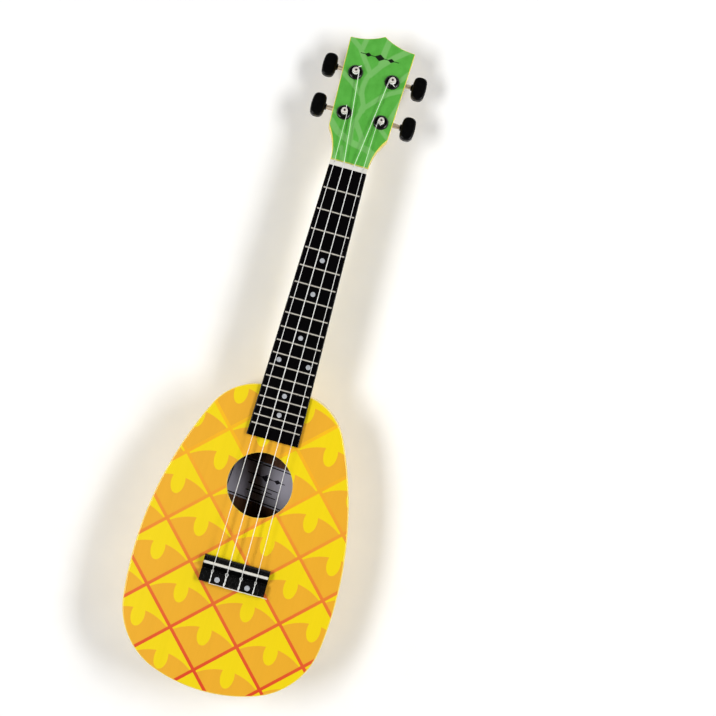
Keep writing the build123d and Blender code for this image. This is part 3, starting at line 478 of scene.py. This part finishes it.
def fruit_skin(surface, x, y):
    """The printed fruit skin, which leans a little, with lines that fade from red to yellow up the body."""
    leaning_x, leaning_y = turned(x - LATTICE_NODE[0], y - LATTICE_NODE[1], LATTICE_TURN)
    first = ((leaning_x + leaning_y) / (2 * LATTICE_HALF)).fraction() - 0.5
    second = ((leaning_x - leaning_y) / (2 * LATTICE_HALF)).fraction() - 0.5
    cell_x = (first + second) * LATTICE_HALF
    cell_y = (first - second) * LATTICE_HALF

    arc = cell_x.squared().under(ARC_RADIUS**2).root() + ARC_CENTRE
    above = (cell_y - arc).rise(-PRINT_BLUR, PRINT_BLUR)
    drip_x = cell_x / DRIP_HALF_WIDTH
    drip_y = (cell_y - DRIP_RISE) / DRIP_HALF_HEIGHT
    drip = (drip_x.squared() + drip_y.squared()).root().within(1, PRINT_BLUR / DRIP_HALF_WIDTH)
    cell = surface.mix(above.most(drip), PRINT_ORANGE, PRINT_YELLOW)

    to_edge = first.size().most(second.size()).under(0.5) * (LATTICE_HALF * math.sqrt(2))
    line = to_edge.within(LATTICE_LINE / 2, PRINT_BLUR)
    line_colour = surface.ramp((y - LINE_FADE_START) / LINE_FADE_LENGTH, PRINT_LINES)
    return surface.mix(line, cell, line_colour)


def face_print():
    """Soundboard: printed pattern on the face, yellow lacquer on the rim made paler by a painted highlight, bare
    wood below.
    """
    surface = Surface("face_print", Coat_Weight=0.35, Coat_Roughness=0.12, Specular_IOR_Level=0.35)
    x, y, _ = surface.place()
    _, _, up = surface.facing()
    fibre, band = wood_terms(surface)
    printed = surface.shade(fruit_skin(surface, x, y), fibre.spread(0.965, 1.035) * band.spread(0.97, 1.03))
    # The rim is yellow lacquer, lightened by a painted highlight
    outside = surface.mix(up.fall(0.86, 0.98), printed, RIM_LACQUER_AND_HIGHLIGHT)
    downward = up.fall(-0.8, -0.6)
    surface.paint(surface.mix(downward, outside, surface.mottle(fibre, FACE_WOOD)))
    surface.grain(fibre, rough=(0.26, 0.36), relief=0.006)
    return surface.material


def segment_square(across, along, start, stop):
    """Squared distance from a point to a straight stretch."""
    run_x, run_y = stop[0] - start[0], stop[1] - start[1]
    length = math.hypot(run_x, run_y)
    ahead_x, ahead_y = run_x / length, run_y / length
    ahead = across.scaled(ahead_x, along.scaled(ahead_y, -start[0] * ahead_x - start[1] * ahead_y))
    beside = across.scaled(-ahead_y, along.scaled(ahead_x, start[0] * ahead_y - start[1] * ahead_x))
    past = ahead - ahead.most(0.0).least(length)
    return past.scaled(past, beside * beside)


def vein_distance(across, along):
    """Distance out from the edge of the nearest vein."""
    edges = []
    for width, bends in HEAD_VEINS:
        squares = [segment_square(across, along, start, stop) for start, stop in zip(bends, bends[1:])]
        edges.append(reduce(Term.least, squares).root() - width / 2)
    return reduce(Term.least, edges)


def lozenge(across, along, half_width, half_height):
    """1 inside a lozenge and 0 outside it."""
    return (across.size() / half_width + along.size() / half_height).within(1, LOZENGE_BLUR)


def rule(across, along, half_length, fade):
    """1 on a thin straight line and 0 off it."""
    return along.size().fall(*fade) * across.size().fall(half_length - RULE_END_BLUR, half_length)


def ornament(across, along, centre):
    """A thin rule through three lozenges."""
    beside = across - centre[0]
    above = along - centre[1]
    shapes = [lozenge(beside - offset, above, *halves) for offset, *halves in LOZENGES]
    return reduce(Term.most, shapes).most(rule(beside, above, ORNAMENT_RULE_HALF, ORNAMENT_RULE_FADE))


def head_print():
    """Leaf print on the face of the head, with yellow along the nut and round its bevelled edge."""
    surface = Surface("head_print", Coat_Weight=0.4, Coat_Roughness=0.1, Specular_IOR_Level=0.4)
    across, y, z = surface.place()
    along = along_head(y, z)
    _, face_y, face_z = surface.facing()
    fibre, band = wood_terms(surface)
    green = surface.mottle(surface.noise((7.0, 9.0, 7.0), detail=3.0, shift=6.0), LEAF_GREEN)
    vein = vein_distance(across, along).within(0, VEIN_BLUR)
    leaf = surface.mix(vein * band.spread(0.6, 0.95), green, LEAF_VEIN)
    leaf = surface.mix(ornament(across, along, HEAD_ORNAMENT), leaf, HEAD_INK)
    leaf = surface.mix(along.fall(*FOOT_LINE_FADE), leaf, FOOT_YELLOW)
    leaf = surface.shade(leaf, fibre.spread(0.97, 1.03))
    level = face_y * HEAD_AXIS.y + face_z * HEAD_AXIS.z
    surface.paint(surface.mix(level.fall(0.8, 0.95), leaf, HEAD_BEVEL))
    surface.grain(fibre, rough=(0.24, 0.34), relief=0.005)
    return surface.material


def label_paper():
    """Paper with a printed frame, an ornament and plain rules, without any lettering."""
    surface = Surface("label_paper", Specular_IOR_Level=0.2)
    x, y, _ = surface.place()
    across, along = turned(x - LABEL_CENTRE.x, y - LABEL_CENTRE.y, -LABEL_TURN)
    half_width, half_height = LABEL_FRAME
    border = (across.size() - half_width).most(along.size() - half_height)
    ink = border.size().fall(*LABEL_FRAME_FADE).most(ornament(across, along, LABEL_ORNAMENT))
    for height, half_length in LABEL_RULES:
        ink = ink.most(rule(across, along - height, half_length, LABEL_RULE_FADE))
    fibre = surface.noise(0.5, detail=5.0)
    stain = surface.noise((18.0, 14.0, 18.0), detail=3.0, shift=4.0)
    surface.paint(surface.mix(ink, surface.mottle(fibre * 0.5 + stain * 0.5, LABEL_PAPER), LABEL_INK))
    surface.grain(fibre, rough=(0.75, 0.9), relief=0.02)
    return surface.material


# ---------------------------------------------------------------- wood and lacquer

def raw_wood():
    """Bare wood inside the body."""
    surface = Surface("raw_wood", Specular_IOR_Level=0.25)
    fibre, band = wood_terms(surface, width=0.7, length=30.0)
    surface.paint(surface.mottle(fibre * 0.65 + band * 0.35, RAW_WOOD))
    surface.grain(fibre, rough=(0.65, 0.85), relief=0.03)
    return surface.material


def body_lacquer():
    """Yellow lacquer outside, bare wood on the faces that look into the body."""
    surface = Surface("body_lacquer", Coat_Weight=0.6, Coat_Roughness=0.06)
    x, y, z = surface.place()
    face_x, face_y, up = surface.facing()
    outward = (x * face_x + (y - BODY_MIDDLE_Y) * face_y) / BODY_REACH
    inside_wall = outward.fall(-0.2, 0.1) * up.size().fall(0.4, 0.6)
    inside_back = up.rise(0.6, 0.8) * z.fall(BACK_TOP + 0.2, BACK_TOP + 0.6)
    inside = inside_wall.most(inside_back)
    fibre, band = wood_terms(surface, width=1.2, length=60.0)
    lacquer = surface.mottle(fibre * 0.5 + band * 0.5, BODY_YELLOW)
    surface.paint(surface.mix(inside, lacquer, surface.mottle(fibre, INSIDE_WOOD)))
    surface.roughen(inside.spread(0.22, 0.75) + fibre * 0.04)
    surface.bump(fibre, 0.008)
    return surface.material


def neck_lacquer():
    """Yellow lacquer on the neck and the back of the head."""
    surface = Surface("neck_lacquer", Coat_Weight=0.5, Coat_Roughness=0.08)
    fibre, band = wood_terms(surface, width=1.0, length=70.0)
    surface.paint(surface.mottle(fibre * 0.6 + band * 0.4, NECK_YELLOW))
    surface.grain(fibre, rough=(0.24, 0.34), relief=0.01)
    return surface.material


def black_wood(name, tones, relief, rough, gloss):
    """Blackened open-pored wood, satin."""
    surface = Surface(name, Specular_IOR_Level=gloss)
    fibre, band = wood_terms(surface, width=0.35, length=18.0)
    pores = surface.noise((0.25, 5.0, 0.25), detail=2.0, shift=8.0).rise(0.60, 0.72)
    surface.paint(surface.mottle(fibre * 0.6 + band * 0.4, tones, DEEP_MOTTLE_ENDS))
    surface.roughen(fibre.spread(rough, rough + 0.06))
    surface.bump(fibre * 0.5 - pores, relief)
    return surface.material


# ---------------------------------------------------------------- metal and plastic

def metal(name, code, rough, metallic=1.0):
    """Plated metal with faint wear in its polish: the surface, and the colour that it is painted with."""
    surface = Surface(name, Metallic=metallic)
    cloud = surface.noise(0.6, detail=4.0)
    tarnish = surface.noise(4.0, detail=3.0, shift=5.0)
    bright = colour(code)
    dull = (*[channel * TARNISH_LEVEL for channel in bright[:3]], 1.0)
    plating = surface.mix(tarnish.rise(0.45, 0.8), bright, dull)
    surface.paint(plating)
    surface.grain(cloud, rough=(rough * 0.75, rough * 1.35), relief=0.004)
    return surface, plating


def plain_metal(name, code, rough):
    """Plated or machined metal, the same all over."""
    surface, _ = metal(name, code, rough)
    return surface.material


def fret_metal():
    """Nickel silver, with a painted highlight along the crown of each fret and painted shade on its flanks."""
    surface, plating = metal("fret_wire", FRET_CROWN_HIGHLIGHT, 0.45, metallic=0.6)
    _, _, up = surface.facing()
    # Painted highlight on the up-facing crown, painted shade on the flanks
    surface.paint(surface.mix(up.rise(0.78, 0.98), FRET_FLANK_SHADE, plating))
    return surface.material


def post_distance(surface):
    """Distance from the axis of the nearest post."""
    across, y, z = surface.place()
    along = along_head(y, z)
    beside = reduce(Term.least, [(along - row).size() for row in POST_ROWS])
    sideways = across.size() - POST_X
    return (beside.squared() + sideways.squared()).root()


def post_metal():
    """Satin nickel with painted shade in the dimple on top of each post."""
    surface, plating = metal("nickel", POST_NICKEL, 0.48, metallic=0.6)
    # Painted shade in the dimple on top of the post
    surface.paint(surface.mix(post_distance(surface).fall(*DIMPLE_PAINTED_SHADE), plating, POST_DIMPLE_SHADE))
    return surface.material


def uneven(surface, tones, rough):
    """Mottle and a slight unevenness, as on moulded or drawn plastic. Returns the mottled colour."""
    cloud = surface.noise(2.5, detail=4.0)
    surface.roughen(cloud.spread(*rough))
    surface.bump(surface.noise(0.35, detail=2.0, shift=2.0), 0.004)
    return surface.mottle(cloud, tones)


def plastic(name, tones, rough, **settings):
    """Moulded or polished plastic."""
    surface = Surface(name, **settings)
    surface.paint(uneven(surface, tones, (rough * 0.8, rough * 1.25)))
    return surface.material


def nylon():
    """Clear string nylon, with painted light: the colour beneath it painted into the string where it runs over the
    face and over the head.
    """
    surface = Surface("nylon", Coat_Weight=0.2, Coat_Roughness=0.1)
    _, y, _ = surface.place()
    clear = uneven(surface, NYLON_CLEAR, (0.24, 0.34))
    face_light_mask = y.rise(BRIDGE_HIGH.y, BRIDGE_HIGH.y + 3) * y.fall(BOARD_END - 1, BOARD_END + 1)
    past_hole = (y - HOLE_Y).size().rise(HOLE_RADIUS - 1, HOLE_RADIUS + 1)
    # Painted light: the warm colour of the face, shining up through the string
    with_face_light = surface.mix(face_light_mask * past_hole, clear, NYLON_PAINTED_FACE_LIGHT)
    head_light_mask = y.rise(NUT_HIGH.y - 0.5, NUT_HIGH.y + 3) * post_distance(surface).rise(*COIL_CLEARANCE)
    # Painted light: the green of the head, shining up through the string
    surface.paint(surface.mix(head_light_mask, with_face_light, NYLON_PAINTED_HEAD_LIGHT))
    return surface.material


MATERIALS = {
    "face_print": face_print(),
    "body_lacquer": body_lacquer(),
    "raw_wood": raw_wood(),
    "label_paper": label_paper(),
    "neck_lacquer": neck_lacquer(),
    "head_print": head_print(),
    "fretboard_wood": black_wood("fretboard_wood", FRETBOARD_BLACK, relief=0.008, rough=0.15, gloss=0.22),
    "bridge_wood": black_wood("bridge_wood", BRIDGE_BLACK, relief=0.015, rough=0.24, gloss=0.2),
    "nickel": post_metal(),
    "fret_wire": fret_metal(),
    "steel": plain_metal("steel", STEEL, 0.44),
    "brass": plain_metal("brass", BRASS, 0.3),
    "pearl": plastic("pearl", PEARL, 0.25, Coat_Weight=0.4, Coat_Roughness=0.08),
    "bone": plastic("bone", BONE, 0.32, Coat_Weight=0.2),
    "nylon": nylon(),
    "bushing_black": plastic("bushing_black", BUSHING_BLACK, 0.2, Specular_IOR_Level=0.4),
    "button_black": plastic("button_black", BUTTON_BLACK, 0.3, Specular_IOR_Level=0.2),
}


# ---------------------------------------------------------------- tubes along routes

def smooth(points, steps=8):
    """A rounded line through given points (Catmull-Rom)."""
    ends = [points[0] * 2 - points[1], *points, points[-1] * 2 - points[-2]]
    line = []
    for i in range(1, len(ends) - 2):
        before, start, stop, after = ends[i - 1:i + 3]
        for step in range(steps):
            t = step / steps
            bend = (2 * before - 5 * start + 4 * stop - after) * t**2
            twist = (3 * start - before - 3 * stop + after) * t**3
            line.append(0.5 * (2 * start + (stop - before) * t + bend + twist))
    line.append(points[-1])
    return line


def rounded(points, radii, steps=7):
    """Straight runs joined by arcs, one radius for each inner point."""
    line = [points[0]]
    for i, radius in enumerate(radii, start=1):
        back = (points[i - 1] - points[i]).normalized()
        ahead = (points[i + 1] - points[i]).normalized()
        half = back.angle(ahead) / 2
        reach = radius / math.tan(half)
        middle = (back + ahead).normalized() * (radius / math.sin(half)) + points[i]
        start = points[i] + back * reach - middle
        stop = points[i] + ahead * reach - middle
        line += [middle + start.slerp(stop, step / steps).normalized() * radius for step in range(steps + 1)]
    line.append(points[-1])
    return line


def tube_stations(line, radius):
    """Centre, direction, side direction and radius of a tube's rings, without twist from one to the next."""
    before = [line[0], *line[:-1]]
    after = [*line[1:], line[-1]]
    tangents = [(stop - start).normalized() for start, stop in zip(before, after)]
    previous = tangents[0]
    side = previous.orthogonal().normalized()
    stations = []
    for point, tangent in zip(line, tangents):
        side = (previous.rotation_difference(tangent) @ side).normalized()
        side = (side - tangent * side.dot(tangent)).normalized()
        previous = tangent
        stations.append((point, tangent, side.copy(), radius))
    return stations


def dome(station, way):
    """Rings from one end's tip to its last full ring. The way out is -1 or 1 along the tube."""
    point, tangent, side, radius = station
    return [(point + tangent * radius * math.sin(angle) * way, tangent, side, radius * math.cos(angle))
            for angle in DOME_ANGLES]


def add_ring(mesh, station, sides):
    """Vertices round one station."""
    point, tangent, side, radius = station
    other = tangent.cross(side)
    turns = [2 * math.pi * k / sides for k in range(sides)]
    spots = [point + (side * math.cos(turn) + other * math.sin(turn)) * radius for turn in turns]
    return [mesh.verts.new(spot * MM) for spot in spots]


def add_tube(mesh, line, radius, sides=12):
    """A round tube along a line, with domed ends."""
    stations = tube_stations(line, radius)
    stations = dome(stations[0], -1) + stations + dome(stations[-1], 1)[::-1]
    rings = [add_ring(mesh, station, sides) for station in stations]
    for near, far in zip(rings, rings[1:]):
        for k in range(sides):
            mesh.faces.new((near[k], near[(k + 1) % sides], far[(k + 1) % sides], far[k]))
    mesh.faces.new(list(reversed(rings[0])))
    mesh.faces.new(rings[-1])


def add_object(name, mesh, material):
    """Turn a bmesh into an object of the scene, with its material."""
    data = bpy.data.meshes.new(name)
    mesh.to_mesh(data)
    mesh.free()
    data.materials.append(material)
    piece = bpy.data.objects.new(name, data)
    bpy.context.scene.collection.objects.link(piece)
    return piece


def add_nylon(name, mesh, body, replaced):
    """A piece of string that rides on a CAD body in place of a CAD node."""
    piece = add_object(name, mesh, MATERIALS["nylon"])
    for face in piece.data.polygons:
        face.use_smooth = True
    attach(piece, body)
    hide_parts(replaced)


# ---------------------------------------------------------------- strings

class Wire:
    """A string: its gauge and places, its post, and where it meets the post."""

    def __init__(self, name):
        self.gauge, self.nut_x, self.saddle_x = STRINGS[name]
        self.half = self.gauge / 2
        joint = JOINTS[f"{name}_post_turn"]
        self.foot = Vector(joint["pos_m"]) / MM
        self.up = Vector(joint["axis"]).normalized()
        self.across = Vector((1, 0, 0))
        self.along = self.up.cross(self.across)
        self.side = 1 if self.foot.x > 0 else -1
        self.nut_bend = Vector((self.nut_x, NUT_LOW.y + NUT_BEND, NUT_SLOT_Z + self.half))
        self.radius = POST_WAIST + STRING_GAP + self.half
        self.touch = self.meeting(self.nut_bend)

    def meeting(self, point):
        """Angle round the post at which a string from a point first touches it."""
        offset = self.foot - point
        across, along = offset.dot(self.across), offset.dot(self.along)
        heading = math.atan2(along, across) + self.side * math.asin(self.radius / math.hypot(across, along))
        return heading + self.side * math.pi / 2

    def spot(self, radius, angle, height):
        """Place round the post."""
        flat = self.across * math.cos(angle) + self.along * math.sin(angle)
        return self.foot + flat * radius + self.up * height

    def coil(self, radius, pitch, turns, steps=20):
        """Helix up the post from where the string meets it, with this many steps in a turn."""
        count = max(int(turns * steps), 2)
        shares = [turns * i / count for i in range(count + 1)]
        return [self.spot(radius, self.touch - self.side * 2 * math.pi * share, WINDING_BASE + pitch * share)
                for share in shares]


def tie_route(wire, end_x):
    """The tied end: out of the hole, over the block, round the string, twisted back, along the rear edge."""
    gauge, half = wire.gauge, wire.half
    edge = BRIDGE_LOW.y
    rear = edge - half - 0.12
    over = TIE_TOP + half + 0.04
    front = TIE_FRONT + half + 0.1
    # Given one by one: distance to the side in gauges, then place along and above
    loop = [
        (0.0, edge + 2.5, TIE_HOLE_Z),
        (0.0, edge + 0.4, TIE_HOLE_Z),
        (0.0, rear - 0.35, TIE_HOLE_Z + 0.6),
        (0.0, rear - 0.05, TIE_TOP - 0.9),
        (0.0, edge + 0.35, over - 0.05),
        (0.55, edge + 3.0, over),
        (-0.35, edge + 6.4, over + half),
        (0.75, TIE_FRONT - 0.6, over),
        (1.35, front + 0.4, TIE_TOP - 0.9),
        (0.1, front + 1.1, TIE_TOP - 2.3),
        (-1.35, front + 0.4, TIE_TOP - 0.9),
        (-0.75, TIE_FRONT - 0.6, over),
        (0.45, edge + 6.2, over + half),
        (-0.55, edge + 3.0, over + half * 0.5),
        (-0.2, edge + 0.4, over + 0.1),
        (0.9, rear - 0.1, TIE_TOP - 0.2),
    ]
    tail = [
        Vector(((wire.saddle_x + end_x) / 2, rear, TIE_TOP - 0.35)),
        Vector((end_x, rear - 0.1, TIE_TOP - 0.45)),
    ]
    return [Vector((wire.saddle_x + gauges * gauge, y, z)) for gauges, y, z in loop] + tail


def speaking_route(wire):
    """From the tie hole over the saddle and the nut to the post, and a little way round it."""
    crown = SADDLE_CROWN + wire.half + STRING_GAP
    peak_y = SADDLE_Y - crown * math.tan(BREAK_ANGLE / 2)
    peak_z = SADDLE_HIGH.z + wire.half + STRING_GAP
    mouth_y = peak_y - (peak_z - TIE_HOLE_Z) / math.tan(BREAK_ANGLE)
    corners = [
        Vector((wire.saddle_x, TIE_FRONT - 2.5, TIE_HOLE_Z)),
        Vector((wire.saddle_x, mouth_y, TIE_HOLE_Z)),
        Vector((wire.saddle_x, peak_y, peak_z)),
        wire.nut_bend,
        wire.spot(wire.radius, wire.touch, WINDING_BASE),
    ]
    wrap = wire.coil(wire.radius * WRAP_RADIUS_SHARE, wire.gauge, WRAP_OVERLAP / (2 * math.pi), steps=24)
    return rounded(corners, [MOUTH_RADIUS, crown, NUT_RADIUS]) + wrap[1:]


def cut_end_route(wire, reach, bend):
    """The cut end of a string, out through the post's hole."""
    angle = -wire.side * CUT_END_TURN
    return [
        wire.spot(0.4, angle, 5.5),
        wire.spot(wire.radius, angle, 5.6),
        wire.spot(wire.radius + reach * 0.5, angle + bend * 0.25, 6.0),
        wire.spot(wire.radius + reach, angle + bend * 0.5, 6.5),
    ]


def strings():
    """Each string with its tied end, which lies as far as the next string, and its turns on the post."""
    tie_ends = [saddle_x for _, _, saddle_x in STRINGS.values()][1:] + [BRIDGE_HIGH.x + TIE_PAST_BRIDGE]
    for name, tie_end in zip(STRINGS, tie_ends):
        wire = Wire(name)
        mesh = bmesh.new()
        add_tube(mesh, speaking_route(wire), wire.half)
        add_tube(mesh, smooth(tie_route(wire, tie_end)), wire.half, sides=10)
        add_nylon(f"nylon_{name}", mesh, "instrument", f"string_{name}")

        mesh = bmesh.new()
        add_tube(mesh, wire.coil(wire.radius, wire.gauge * WINDING_PITCH, WINDING_TURNS), wire.half)
        add_tube(mesh, smooth(cut_end_route(wire, *CUT_ENDS[name]), steps=5), wire.half)
        add_nylon(f"coil_{name}", mesh, f"{name}_post", f"winding_{name}")


# ---------------------------------------------------------------- studio

def finish_nodes():
    """Give every CAD node the material of its slot."""
    for entry in frame["record"]["subparts"]:
        data = NODES[entry["node"]].data
        data.materials.clear()
        data.materials.append(MATERIALS[entry["material_slot"]])


def floor():
    """Plain pale floor under the instrument."""
    surface = Surface("floor", Roughness=0.9, Specular_IOR_Level=0.1)
    surface.paint(surface.mottle(surface.noise(40.0, detail=4.0), FLOOR_WHITE))
    mesh = bmesh.new()
    bmesh.ops.create_grid(mesh, x_segments=2, y_segments=2, size=FLOOR_HALF)
    ground = add_object("floor", mesh, surface.material)
    ground.location.z = cad_box[0].z - FLOOR_GAP


def lights():
    """Two softboxes, left and right of the camera's picture."""
    right = Vector((math.cos(CAMERA_ROLL), math.sin(CAMERA_ROLL), 0))
    for name, (side, elevation) in SOFTBOXES.items():
        data = bpy.data.lights.new(name, "AREA")
        data.shape = "RECTANGLE"
        data.size, data.size_y = SOFTBOX_SIZE
        data.energy = SOFTBOX_POWER
        lamp = bpy.data.objects.new(name, data)
        direction = right * side * math.cos(elevation) + Vector((0, 0, math.sin(elevation)))
        lamp.location = direction * SOFTBOX_DISTANCE
        lamp.rotation_euler = direction.to_track_quat("Z", "Y").to_euler()
        bpy.context.scene.collection.objects.link(lamp)


def room():
    """White surroundings, bright up to the horizon and dim overhead."""
    world = bpy.data.worlds.new("studio")
    world.use_nodes = True
    tree = world.node_tree
    parts = tree.nodes.new("ShaderNodeSeparateXYZ")
    tree.links.new(tree.nodes.new("ShaderNodeTexCoord").outputs["Generated"], parts.inputs[0])
    strength = Term(tree, parts.outputs["Z"]).fall(*ROOM_FADE).spread(*ROOM_LIGHT)
    background = tree.nodes["Background"]
    background.inputs["Color"].default_value = (1.0, 1.0, 1.0, 1.0)
    tree.links.new(strength.socket, background.inputs["Strength"])
    bpy.context.scene.world = world


def camera():
    """Camera almost straight above, turned so that the neck leans to the right."""
    data = bpy.data.cameras.new("camera")
    data.lens = CAMERA_LENS
    data.sensor_width = SENSOR_WIDTH
    data.clip_end = VIEW_LIMIT
    viewer = bpy.data.objects.new("camera", data)
    back = CAMERA_BACK.normalized()
    lean = Vector((-math.sin(CAMERA_ROLL), math.cos(CAMERA_ROLL), 0))
    right = lean.cross(back).normalized()
    turn = Matrix((right, back.cross(right), back)).transposed()
    viewer.matrix_world = Matrix.Translation(CAMERA_PLACE) @ turn.to_4x4()
    bpy.context.scene.collection.objects.link(viewer)
    bpy.context.scene.camera = viewer
    bpy.context.scene.view_settings.view_transform = "Standard"


finish_nodes()
strings()
floor()
lights()
room()
camera()
